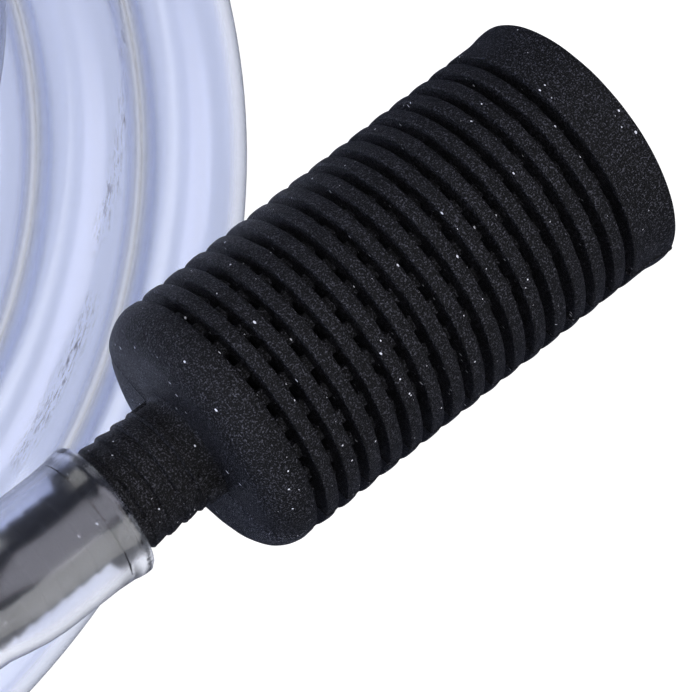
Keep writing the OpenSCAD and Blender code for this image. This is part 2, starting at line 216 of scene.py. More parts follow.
def mesh_piece(
    name: str, vertices: np.ndarray, faces: Faces, material: Material,
    sharp_angle: float = 40.0, weld: float = 1e-7,
) -> Piece:
    """Makes a mesh object from vertices and faces, welded and with outward normals.

    Args:
        name: Name of the piece.
        vertices: Array of points in the row frame, in metres.
        faces: Tuples of vertex indices.
        material: Finish of the piece.
        sharp_angle: Edges that bend more than this many degrees stay sharp.
        weld: Distance below which vertices become one.

    Returns:
        The new object, linked to the scene.
    """
    mesh = bpy.data.meshes.new(name)
    mesh.from_pydata([tuple(v) for v in vertices], [], faces)
    work = bmesh.new()
    work.from_mesh(mesh)
    bmesh.ops.remove_doubles(work, verts=work.verts, dist=weld)
    bmesh.ops.recalc_face_normals(work, faces=work.faces)
    work.to_mesh(mesh)
    work.free()
    mesh.shade_smooth()
    mesh.set_sharp_from_angle(angle=math.radians(sharp_angle))
    mesh.materials.append(material)
    return add_object(name, mesh)


def write_attribute(piece: Piece, name: str, values: np.ndarray) -> None:
    """Writes one number per vertex, held between 0 and 1, for the finish to read.

    Args:
        piece: The mesh object.
        name: Name of the attribute.
        values: The numbers, in the order of the vertices.
    """
    attribute = piece.data.attributes.new(name, "FLOAT", "POINT")
    attribute.data.foreach_set("value", np.clip(values, 0, 1).astype(np.float32))


@dataclass(frozen=True)
class MouldedPolypropylene:
    """Injection-moulded polypropylene from a lightly spark-eroded mould.

    The spark erosion gives a fine matt grain, and handling leaves pale dust in it.
    """

    colour: str = "#020202"
    # Colour of the grain tops: a painted sheen that stands in for the grain's glints.
    grain_sheen_colour: str = "#5a5a61"
    worn_colour: str = "#a3a5b2"
    dust_colour: str = "#e4e5ea"
    grain_mm: float = 0.19
    grain_height_mm: float = 0.25
    dust_cell_mm: float = 0.8
    dust_size: float = 0.17
    dust_share: float = 0.2
    patch_mm: float = 4.0
    roughness: float = 0.36

    def build(self, name: str) -> Material:
        """Builds the material.

        Args:
            name: Name of the material.

        Returns:
            The material.
        """
        m = new_material(name)
        place = add_node(m, "TexCoord").outputs["Object"]
        # The grain is drawn a little coarser than spark erosion is, so that it shows.
        grain = add_node(
            m, "TexNoise",
            inputs={"Vector": place, "Scale": 1 / (self.grain_mm * MM), "Detail": 3.0, "Roughness": 0.65},
        )
        mottle = add_node(
            m, "TexNoise", inputs={"Vector": place, "Scale": 1 / (self.patch_mm * MM), "Detail": 5.0}
        )
        wear = add_node(m, "Attribute", {"attribute_name": "wear"})
        raised = add_node(m, "MapRange", inputs={"Value": grain, "From Min": 0.56, "From Max": 0.68})
        scuffed = add_node(m, "Math", {"operation": "MULTIPLY"}, {0: wear.outputs["Fac"], 1: raised})
        # The tops of the grain are painted paler than its pits: a painted sheen that stands in for the glints
        # the grain catches.
        painted_grain_sheen = add_node(m, "MapRange", inputs={"Value": grain, "From Min": 0.53, "From Max": 0.7})
        shade = add_node(
            m, "Mix", {"data_type": "RGBA"},
            {"Factor": painted_grain_sheen, "A": linear(self.colour), "B": linear(self.grain_sheen_colour)},
        )
        base = add_node(
            m, "Mix", {"data_type": "RGBA"},
            {"Factor": scuffed, "A": shade.outputs["Result"], "B": linear(self.worn_colour)},
        )
        colour = add_node(
            m, "Mix", {"data_type": "RGBA"},
            {"Factor": self.dust(m, place, mottle), "A": base.outputs["Result"],
             "B": linear(self.dust_colour)},
        )
        rough = add_node(
            m, "MapRange",
            inputs={"Value": grain, "From Min": 0.35, "From Max": 0.65,
                    "To Min": self.roughness + 0.14, "To Max": self.roughness - 0.06},
        )
        bump = add_node(
            m, "Bump", inputs={"Strength": 1.0, "Distance": self.grain_height_mm * MM, "Height": grain}
        )
        shader = add_node(
            m, "BsdfPrincipled",
            inputs={"Base Color": colour.outputs["Result"], "Roughness": rough,
                    "IOR": 1.49, "Specular IOR Level": 0.2, "Normal": bump},
        )
        return finish_material(m, shader)

    def dust(self, m: Material, place: bpy.types.NodeSocket, mottle: Node) -> Node:
        """Builds the mask of the dust specks, which gather in patches.

        Args:
            m: The material.
            place: Position on the object.
            mottle: Slow noise that says where dust gathers.

        Returns:
            The mask, 1 on a speck.
        """
        # A stretch of the pattern makes some specks into short fibres.
        bent = add_node(m, "VectorMath", {"operation": "MULTIPLY"}, {0: place, 1: (1.0, 0.55, 1.3)})
        cells = add_node(m, "TexVoronoi", inputs={"Vector": bent, "Scale": 1 / (self.dust_cell_mm * MM)})
        lottery = add_node(m, "SeparateColor", inputs={0: cells.outputs["Color"]})
        # Only some cells hold a speck, and the cell's own random colour sets its size.
        size = add_node(m, "Math", {"operation": "MULTIPLY"}, {0: lottery.outputs[1], 1: self.dust_size})
        speck = add_node(m, "Math", {"operation": "LESS_THAN"}, {0: cells.outputs["Distance"], 1: size})
        share = add_node(
            m, "MapRange",
            inputs={"Value": mottle, "From Min": 0.42, "From Max": 0.62, "To Max": 3 * self.dust_share},
        )
        chosen = add_node(m, "Math", {"operation": "LESS_THAN"}, {0: lottery, 1: share})
        return add_node(m, "Math", {"operation": "MULTIPLY"}, {0: speck, 1: chosen})


@dataclass(frozen=True)
class ClearVinyl:
    """Extruded soft PVC, clear with a faint blue tint.

    The die leaves faint lines along the hose, and storage leaves a dull haze and a few scuffs.
    """

    tint: str = "#eef1fb"
    bloom_tint: str = "#e2e7f7"
    dirt: str = "#5b535a"
    roughness: float = 0.18
    hazy_roughness: float = 0.2
    die_line_mm: float = 0.9
    die_line_height_mm: float = 0.04
    haze_mm: float = 9.0
    scuff_mm: float = 0.32

    def build(self, name: str) -> Material:
        """Builds the material. Its UV map holds metres around and along the hose.

        Args:
            name: Name of the material.

        Returns:
            The material.
        """
        m = new_material(name)
        uv = add_node(m, "UVMap", {"uv_map": "hose"})
        lines_at = add_node(m, "VectorMath", {"operation": "MULTIPLY"}, {0: uv, 1: (1.0, 0.02, 1.0)})
        lines = add_node(
            m, "TexNoise", inputs={"Vector": lines_at, "Scale": 1 / (self.die_line_mm * MM), "Detail": 3.0}
        )
        haze = add_node(m, "TexNoise", inputs={"Vector": uv, "Scale": 1 / (self.haze_mm * MM), "Detail": 5.0})
        # The freshly stretched end is clear, and the stored length has a dull bloom.
        bloom = add_node(m, "Attribute", {"attribute_name": "bloom"})
        uneven = add_node(
            m, "Math", {"operation": "MULTIPLY_ADD"}, {0: haze, 1: 0.5, 2: bloom.outputs["Fac"]}
        )
        rough = add_node(
            m, "MapRange",
            inputs={"Value": uneven, "From Min": 0.25, "From Max": 1.25,
                    "To Min": self.roughness, "To Max": self.hazy_roughness},
        )
        scuff_at = add_node(m, "VectorMath", {"operation": "MULTIPLY"}, {0: uv, 1: (1.0, 0.16, 1.0)})
        scuffs = add_node(
            m, "TexNoise",
            inputs={"Vector": scuff_at, "Scale": 1 / (self.scuff_mm * MM), "Detail": 6.0, "Roughness": 0.7},
        )
        broken = add_node(m, "MapRange", inputs={"Value": scuffs, "From Min": 0.49, "From Max": 0.62})
        dirt = add_node(m, "Attribute", {"attribute_name": "dirt"})
        marked = add_node(m, "Math", {"operation": "MULTIPLY"}, {0: dirt.outputs["Fac"], 1: broken})
        body = add_node(
            m, "Mix", {"data_type": "RGBA"},
            {"Factor": bloom.outputs["Fac"], "A": linear(self.tint), "B": linear(self.bloom_tint)},
        )
        colour = add_node(
            m, "Mix", {"data_type": "RGBA"},
            {"Factor": marked, "A": body.outputs["Result"], "B": linear(self.dirt)},
        )
        clear = add_node(m, "Math", {"operation": "SUBTRACT"}, {0: 1.0, 1: marked})
        bump = add_node(
            m, "Bump", inputs={"Strength": 0.2, "Distance": self.die_line_height_mm * MM, "Height": lines}
        )
        shader = add_node(
            m, "BsdfPrincipled",
            inputs={"Base Color": colour.outputs["Result"], "Roughness": rough,
                    "IOR": 1.53, "Transmission Weight": clear, "Normal": bump},
        )
        return finish_material(m, shader)


@dataclass(frozen=True)
class PlainMoulding:
    """Any plain moulded or cut material whose look is a colour, a grain and a gloss."""

    colour: str
    shade: str
    grain_mm: float
    height_mm: float
    roughness: float
    metallic: float = 0.0
    stretch: Point = (1.0, 1.0, 1.0)

    def build(self, name: str) -> Material:
        """Builds the material.

        Args:
            name: Name of the material.

        Returns:
            The material.
        """
        m = new_material(name)
        place = add_node(m, "TexCoord").outputs["Object"]
        scaled = add_node(m, "VectorMath", {"operation": "MULTIPLY"}, {0: place, 1: self.stretch})
        grain = add_node(
            m, "TexNoise", inputs={"Vector": scaled, "Scale": 1 / (self.grain_mm * MM), "Detail": 4.0}
        )
        colour = add_node(
            m, "Mix", {"data_type": "RGBA"},
            {"Factor": grain, "A": linear(self.colour), "B": linear(self.shade)},
        )
        rough = add_node(
            m, "MapRange",
            inputs={"Value": grain, "From Min": 0.3, "From Max": 0.7,
                    "To Min": self.roughness - 0.05, "To Max": self.roughness + 0.08},
        )
        bump = add_node(m, "Bump", inputs={"Strength": 0.5, "Distance": self.height_mm * MM, "Height": grain})
        inputs = {"Base Color": colour.outputs["Result"], "Roughness": rough,
                  "Metallic": self.metallic, "Normal": bump}
        return finish_material(m, add_node(m, "BsdfPrincipled", inputs=inputs))


class Finishes:
    """Every finish of the siphon, built once and shared by its pieces."""

    def __init__(self) -> None:
        """Builds the materials and sorts them by slot."""
        black = MouldedPolypropylene().build("moulded_polypropylene_black")
        vinyl = ClearVinyl().build("extruded_vinyl_clear")
        # Natural nylon is waxy and slightly warm.
        nylon = PlainMoulding("#e9e6da", "#d9d4c4", 0.8, 0.01, 0.38).build("moulded_nylon_natural")
        # Drawn stainless wire and strip keep fine lines along their length.
        steel = PlainMoulding("#b9bbbf", "#a3a5aa", 0.25, 0.004, 0.28, 1.0, (1.0, 0.1, 1.0)).build(
            "stainless_steel_drawn"
        )
        # ABS moulded against a polished tool is smooth and a little glossy.
        lever = PlainMoulding("#1f5fb0", "#1b549c", 1.2, 0.006, 0.3).build("moulded_abs_blue")
        # Nitrile seals are matt, with a fine bloom.
        rubber = PlainMoulding("#161616", "#1f1f1f", 0.3, 0.02, 0.62).build("nitrile_rubber_moulded")
        # Hook-and-loop strap: a felted nylon face with loops about half a millimetre apart.
        strap = PlainMoulding("#101114", "#26272c", 0.45, 0.25, 0.9).build("looped_nylon_strap")
        self.by_slot: dict[Slot, Material] = {
            Slot.BLACK_PP: black, Slot.CLEAR_PVC: vinyl, Slot.WHITE_NYLON: nylon, Slot.TIE_STRAP: strap,
            Slot.STEEL: steel, Slot.TAP_SHELL: black, Slot.TAP_HANDLE: lever, Slot.SEAL_RUBBER: rubber,
        }


@dataclass(frozen=True)
class SoftBox:
    """A square soft box that faces the row frame's origin, near the strainer. Lengths in metres."""

    name: str
    place: Point
    size: float
    watts: float
    colour: str

    def hang(self) -> None:
        """Adds the light."""
        data = bpy.data.lights.new(self.name, "AREA")
        data.size = self.size
        data.energy = self.watts
        data.color = linear(self.colour)[:3]
        lamp = add_object(self.name, data)
        lamp.location = self.place
        lamp.rotation_euler = (-Vector(self.place)).to_track_quat("-Z", "Y").to_euler()


@dataclass
class Studio:
    """Camera, floor and soft light."""

    camera_place: Point = (-0.04004, -0.05617, 0.31784)
    camera_elevation: float = 76.354
    camera_azimuth: float = -40.6
    lens: float = 148.8
    floor_half: float = 12.0
    floor_glow: float = 0.98
    sky: str = "#c8d4ff"
    sky_strength: float = 0.15
    boxes: tuple[SoftBox, ...] = (
        SoftBox("top", (0.15, -0.11, 0.58), 0.55, 2.2, "#f6f4ff"),
        SoftBox("tail_side", (-0.55, 0.16, 0.28), 0.45, 3.4, "#d5dfff"),
        SoftBox("front", (0.05, -0.55, 0.30), 0.5, 2.6, "#ffffff"),
        SoftBox("back", (-0.10, 0.50, 0.40), 0.3, 0.9, "#ffffff"),
    )

    def place_camera(self) -> None:
        """Puts the camera above the siphon, looking down across the strainer."""
        data = bpy.data.cameras.new("camera")
        data.lens = self.lens
        data.sensor_width = 36.0
        data.clip_start = 0.01
        camera = add_object("camera", data)
        turn, rise = math.radians(self.camera_azimuth), math.radians(self.camera_elevation)
        forward = Vector((-math.sin(turn) * math.cos(rise), math.cos(turn) * math.cos(rise), -math.sin(rise)))
        camera.location = self.camera_place
        camera.rotation_euler = forward.to_track_quat("-Z", "Y").to_euler()
        bpy.context.scene.camera = camera

    def lay_floor(self) -> None:
        """Lays a white floor that glows like a light table and doesn't light the object."""
        m = new_material("floor_white")
        shader = add_node(
            m, "BsdfPrincipled",
            inputs={"Base Color": linear("#7d7d7d"), "Roughness": 0.9, "Specular IOR Level": 0.0,
                    "Emission Color": linear("#ffffff"), "Emission Strength": self.floor_glow},
        )
        finish_material(m, shader)
        h = self.floor_half
        corners = np.array([(-h, -h, 0), (h, -h, 0), (h, h, 0), (-h, h, 0)], float)
        floor = mesh_piece("floor", corners, [(0, 1, 2, 3)], m)
        # The glow is kept off the black plastic, as black cards around it would do.
        floor.visible_diffuse = False
        floor.visible_glossy = False

    def light(self) -> None:
        """Adds the pale surroundings and the large, weak soft boxes."""
        world = bpy.data.worlds.new("studio")
        bpy.context.scene.world = world
        world.use_nodes = True
        world.node_tree.nodes.clear()
        surroundings = {"Color": linear(self.sky), "Strength": self.sky_strength}
        sky = add_node(world, "Background", inputs=surroundings)
        add_node(world, "OutputWorld", inputs={"Surface": sky})
        for box in self.boxes:
            box.hang()
        bpy.context.scene.view_settings.view_transform = "Standard"


@dataclass
class HoseRoute:
    """The hose's centreline, from the strainer's tail through the coil to the tap."""

    strainer: Matrix
    lip_at_mm: float = 66.72
    tail_end_mm: float = 87.7
    coil_centre_mm: Pair = COIL_CENTRE_MM
    tap_mm: Point = (-80.3, 55.4, 7.0)
    tap_turn: float = 150.0
    tap_half_mm: float = 8.0
    tap_spout_mm: float = 12.0
    step_deg: float = 12.0
    spacing: float = 0.0022
    lead_mm: list[Point] = field(
        default_factory=lambda: [
            (-50, -0.3, 31.6), (-57, -0.6, 31.7), (-64.7, 0, 30.9), (-73.3, 1.7, 29.2),
            (-81.7, 4.3, 26.7), (-89.8, 7.7, 23.6), (-97.5, 12, 20.1), (-104.7, 17, 16.6),
            (-111.4, 22.8, 13.3), (-117.3, 28.9, 10.4), (-122.6, 36.2, 8.1), (-127.2, 43.8, 6.7),
        ]
    )
    run_mm: list[Point] = field(
        default_factory=lambda: [
            (9, 105.8, 16.5), (12, 88.7, 16.9), (9, 71.6, 17.8), (0, 56.7, 18), (-6, 50.4, 17.9),
            (-13, 45.4, 17.3), (-21, 41.7, 15.8), (-29, 39.5, 13.2), (-38, 38.7, 10.3),
            (-46.7, 39.5, 7.8), (-55, 41.7, 7),
        ]
    )

    def coil_point(self, turned: float) -> Point:
        """Gives a point of the coil.

        The turns lie side by side, each shifting inwards where the lead comes down on
        them. The last one climbs over the first three and lies in the furrow between two.

        Args:
            turned: Degrees wound clockwise since the hose passed over the nearest point.

        Returns:
            The point, in millimetres.
        """
        inwards = smoothstep(365, 400, turned) + smoothstep(725, 760, turned)
        radius = 84 - 12 * inwards + 6 * smoothstep(1065, 1095, turned)
        height = 6 + 12 * smoothstep(1045, 1082, turned) - 1.5 * smoothstep(1120, 1150, turned)
        angle = math.radians(270 - turned)
        x, y = self.coil_centre_mm
        return x + radius * math.cos(angle), y + radius * math.sin(angle), height

    def points(self) -> np.ndarray:
        """Gives the whole centreline, evenly spaced.

        Returns:
            Array of points in metres.
        """
        on_tail = [
            self.strainer @ Vector((0, 0, u * MM)) for u in (self.lip_at_mm, 72, 77, 82, self.tail_end_mm)
        ]
        coil = [self.coil_point(a) for a in np.arange(76, 1325, self.step_deg)]
        turn = math.radians(self.tap_turn)
        heading = Vector((math.cos(turn), math.sin(turn), 0))
        half, spout = self.tap_half_mm, self.tap_spout_mm
        on_tap = [Vector(self.tap_mm) - heading * r for r in (half + spout, half + spout / 2, half)]
        chosen = [*on_tail, *(Vector(p) * MM for p in [*self.lead_mm, *coil, *self.run_mm, *on_tap])]
        return self.evenly(np.array([tuple(p) for p in chosen]))

    def evenly(self, corners: np.ndarray) -> np.ndarray:
        """Runs a smooth curve through the corners and spaces points evenly on it.

        Args:
            corners: Points that the curve passes through.

        Returns:
            Evenly spaced points.
        """
        padded = np.vstack([2 * corners[0] - corners[1], corners, 2 * corners[-1] - corners[-2]])
        dense = []
        for a, b, c, d in zip(padded, padded[1:], padded[2:], padded[3:]):
            # Centripetal spacing keeps the curve free of kinks where corners lie unevenly.
            t1 = np.linalg.norm(b - a) ** 0.5
            t2 = t1 + np.linalg.norm(c - b) ** 0.5
            t3 = t2 + np.linalg.norm(d - c) ** 0.5
            t = np.linspace(t1, t2, 16, endpoint=False)[:, None]
            ab = (t1 - t) / t1 * a + t / t1 * b
            bc = (t2 - t) / (t2 - t1) * b + (t - t1) / (t2 - t1) * c
            cd = (t3 - t) / (t3 - t2) * c + (t - t2) / (t3 - t2) * d
            abc = (t2 - t) / t2 * ab + t / t2 * bc
            bcd = (t3 - t) / (t3 - t1) * bc + (t - t1) / (t3 - t1) * cd
            dense.append((t2 - t) / (t2 - t1) * abc + (t - t1) / (t2 - t1) * bcd)
        line = np.vstack([*dense, corners[-1:]])
        length = run_along(line)[-1]
        return sample_line(line, np.linspace(0, length, max(2, round(length / self.spacing)) + 1))


@dataclass(frozen=True)
class Scuff:
    """A dull streak along the hose.

    It runs between two distances along the hose, in metres. Its middle and its width are in
    degrees about the hose, from the side that faces into the coil and over the top.
    """

    start: float
    end: float
    angle_from: float
    angle_to: float
    width: float


@dataclass
class Hose:
    """The clear hose: one tube with a real bore, stretched over the barbs at both ends.

    Each pair says where along the hose a change of width or haze starts and ends. The tap's is
    counted from the outlet end.
    """

    route: HoseRoute
    scuffs: tuple[Scuff, ...] = (Scuff(0.936, 0.971, 163, 110, 4), Scuff(0.974, 0.996, 124, 114, 5))
    outer_mm: float = 6.0
    bore_mm: float = 4.5
    on_barbs_mm: float = 6.42
    stretched_mm: float = 6.36
    on_tip_mm: float = 4.94
    on_tap_mm: float = 4.9
    first_barb_mm: Pair = (1.2, 3.0)
    large_step_mm: Pair = (11.0, 21.5)
    tail_end_mm: Pair = (21.0, 24.0)
    tap_barb_mm: Pair = (15.0, 11.5)
    bloom_mm: Pair = (30.0, 90.0)
    sides: int = 48

    def radii(self, s: float, total: float) -> Pair:
        """Gives the radii of bore and outside, in millimetres.

        The bore follows what the hose is pushed over. A stretched wall keeps its cross-section,
        so it gets thinner.

        Args:
            s: Distance from the strainer end, in millimetres.
            total: Length of the hose, in millimetres.

        Returns:
            The radius of the bore, and that of the outside.
        """
        slack = self.stretched_mm - self.bore_mm
        bore = self.bore_mm + slack * (1 - smoothstep(*self.large_step_mm, s))
        bore += (self.on_barbs_mm - self.stretched_mm) * (1 - smoothstep(*self.first_barb_mm, s))
        on_tip = self.bore_mm + (self.on_tip_mm - self.bore_mm) * (1 - smoothstep(*self.tail_end_mm, s))
        near, far = self.tap_barb_mm
        on_tap = self.bore_mm + (self.on_tap_mm - self.bore_mm) * smoothstep(total - near, total - far, s)
        bore = max(bore, on_tip, on_tap)
        lip = 0.36 * (1 - smoothstep(0.9, 3.2, s)) - 0.3 * (1 - smoothstep(0.0, 0.4, s))
        return bore, math.sqrt(bore**2 + (self.outer_mm**2 - self.bore_mm**2)) + lip

    def rings(self) -> tuple[np.ndarray, np.ndarray, np.ndarray, np.ndarray]:
        """Gives the centreline with extra rings at the lip, and its moving frame.

        Returns:
            Points, distances, and two unit vectors across the hose at each point.
        """
        line = self.route.points()
        run = run_along(line)
        fine = np.array([0.0, 0.08, 0.18, 0.35, 0.7, 1.1, 1.6]) * MM
        wanted = np.unique(np.concatenate([fine, run[run > fine[-1] + 0.4 * MM], run[-1] - fine[1:4]]))
        line = sample_line(line, wanted)
        along = np.gradient(line, wanted, axis=0)
        along /= np.linalg.norm(along, axis=1)[:, None]
        side = np.cross(along, (0.0, 0.0, 1.0))
        side /= np.linalg.norm(side, axis=1)[:, None]
        return line, wanted, side, np.cross(side, along)

    def build(self, finishes: Finishes) -> None:
        """Args:
            finishes: The shared finishes.
        """
        line, run, side, up = self.rings()
        total = run[-1]
        count, n = len(line), self.sides
        turn = np.linspace(0, 2 * math.pi, n, endpoint=False)
        cosine, sine = np.cos(turn)[None, :, None], np.sin(turn)[None, :, None]
        spokes = cosine * side[:, None, :] + sine * up[:, None, :]
        bore_r, outer_r = (np.array([self.radii(s / MM, total / MM) for s in run]) * MM).T
        walls = [line[:, None, :] + spokes * r[:, None, None] for r in (outer_r, bore_r)]
        vertices = np.concatenate([wall.reshape(-1, 3) for wall in walls])
        shift = count * n
        faces = []
        for a, b, c, d in band(count, n, closed=False):
            faces += [(a, b, c, d), (shift + b, shift + a, shift + d, shift + c)]
        last = (count - 1) * n
        for k in range(n):
            m = (k + 1) % n
            faces += [(m, k, shift + k, shift + m), (last + k, last + m, shift + last + m, shift + last + k)]
        piece = mesh_piece("hose", vertices, faces, finishes.by_slot[Slot.CLEAR_PVC], 60, 1e-9)
        self.map_surface(piece, run, n)
        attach(piece, "siphon")
        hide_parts("hose_end", "hose_lead", "hose_coil", "hose_run")
        LOG.info("hose: %.3f m long, %d rings", total, count)

    def map_surface(self, piece: Piece, run: np.ndarray, sides: int) -> None:
        """Writes metres around and along the hose as a UV map, and where it is scuffed and dull.

        Args:
            piece: The hose.
            run: Distance of each ring from the strainer end.
            sides: Number of vertices in a ring.
        """
        mesh = piece.data
        corners = np.zeros(len(mesh.loops), np.int64)
        mesh.loops.foreach_get("vertex_index", corners)
        girth = 2 * math.pi * self.outer_mm * MM
        spoke = corners % sides
        # A face that crosses the seam takes its far edge past the full turn.
        by_face = spoke.reshape(-1, 4)
        seam = (by_face.max(1) - by_face.min(1) > 2)[:, None] & (by_face == 0)
        around = (spoke / sides + seam.ravel()) * girth
        uv = np.stack([around, run[corners % (len(run) * sides) // sides]], axis=1)
        mesh.uv_layers.new(name="hose").data.foreach_set("uv", uv.astype(np.float32).ravel())
        index = np.arange(len(mesh.vertices))
        at, angle = run[index % (len(run) * sides) // sides], index % sides / sides * 360
        outside = index < len(run) * sides
        dirt = np.zeros(len(index))
        for scuff in self.scuffs:
            share = np.clip((at - scuff.start) / (scuff.end - scuff.start), 0, 1)
            middle = scuff.angle_from + (scuff.angle_to - scuff.angle_from) * share
            fade = np.clip(8 * share * (1 - share), 0, 1)
            dirt += outside * fade * np.exp(-(((angle - middle) / scuff.width) ** 2))
        start, full = self.bloom_mm
        write_attribute(piece, "dirt", dirt)
        write_attribute(piece, "bloom", (at / MM - start) / (full - start))


class Shells:
    """Gathers closed shells of vertices and faces into one mesh."""

    def __init__(self) -> None:
        """Starts with nothing."""
        self.vertices: list[np.ndarray] = []
        self.faces: Faces = []
        self.count = 0

    def add(self, vertices: np.ndarray, faces: Faces) -> None:
        """Adds one shell.

        Args:
            vertices: Array of points.
            faces: Tuples of indices into that array.
        """
        self.vertices.append(vertices)
        self.faces.extend(tuple(self.count + i for i in face) for face in faces)
        self.count += len(vertices)

    def turn(self, outline: Profile, angles: np.ndarray, lift: Lift) -> None:
        """Adds an outline turned about the Z axis.

        Args:
            outline: Closed loop of radius and height, in millimetres.
            angles: Angles of the copies, in degrees.
            lift: Gives how far a point stands out from the outline, in millimetres.
        """
        loop = np.array(outline, float)
        ahead, behind = np.roll(loop, -1, axis=0), np.roll(loop, 1, axis=0)
        tangent = ahead - behind
        tangent /= np.linalg.norm(tangent, axis=1)[:, None]
        area = np.sum(loop[:, 0] * ahead[:, 1] - ahead[:, 0] * loop[:, 1])
        normal = np.stack([tangent[:, 1], -tangent[:, 0]], axis=1) * math.copysign(1, area)
        out = lift(loop, normal, angles)
        radius = loop[:, 0][:, None] + normal[:, 0][:, None] * out
        height = loop[:, 1][:, None] + normal[:, 1][:, None] * out
        turn = np.radians(angles)[None, :]
        points = np.stack([radius * np.cos(turn), radius * np.sin(turn), height], axis=2).reshape(-1, 3)
        self.add(points, band(len(loop), len(angles), closed=True))

    def prism(self, outline: Profile, low: float, high: float, turned: float, bevel: float = 0.15) -> None:
        """Adds a bar that runs along Z, with bevelled ends.

        Args:
            outline: Cross-section across the bar, as distance outwards and sideways.
            low: Lower end.
            high: Upper end.
            turned: Angle about Z, in degrees.
            bevel: Size of the bevel at both ends.
        """
        loop = np.array(outline, float)
        middle = loop.mean(axis=0)
        inner = middle + (loop - middle) * (1 - bevel / np.abs(loop - middle).max())
        layers = [(inner, low), (loop, low + bevel), (loop, high - bevel), (inner, high)]
        turn = math.radians(turned)
        points = np.array([
            (x * math.cos(turn) - y * math.sin(turn), x * math.sin(turn) + y * math.cos(turn), z)
            for layer, z in layers
            for x, y in layer
        ])
        n = len(loop)
        ends = [tuple(range(n - 1, -1, -1)), tuple(range(3 * n, 4 * n))]
        self.add(points, ends + band(len(layers), n, closed=False))


def arc_points(middle: Pair, radius: float, start: float, end: float, steps: int) -> Profile:
    """Gives points on an arc.

    Args:
        middle: Centre of the arc.
        radius: Its radius.
        start: First angle, in degrees.
        end: Last angle, in degrees.
        steps: Number of steps between them.

    Returns:
        The points, with both ends.
    """
    turned = [math.radians(start + (end - start) * i / steps) for i in range(steps + 1)]
    return [(middle[0] + radius * math.cos(a), middle[1] + radius * math.sin(a)) for a in turned]


def rounded(corners: Profile, radii: list[float], steps: int = 4) -> Profile:
    """Rounds the corners of a closed outline.

    Args:
        corners: The sharp corners, in order.
        radii: How far from each corner its rounding starts.
        steps: Number of steps in each rounding.

    Returns:
        The rounded outline.
    """
    points: Profile = []
    for i, (corner, radius) in enumerate(zip(corners, radii)):
        here = np.array(corner, float)
        before = np.array(corners[i - 1], float) - here
        after = np.array(corners[(i + 1) % len(corners)], float) - here
        start = here + before / np.linalg.norm(before) * min(radius, 0.49 * np.linalg.norm(before))
        end = here + after / np.linalg.norm(after) * min(radius, 0.49 * np.linalg.norm(after))
        for j in range(steps + 1):
            t = j / steps
            points.append(tuple((1 - t) ** 2 * start + 2 * t * (1 - t) * here + t * t * end))
    return points


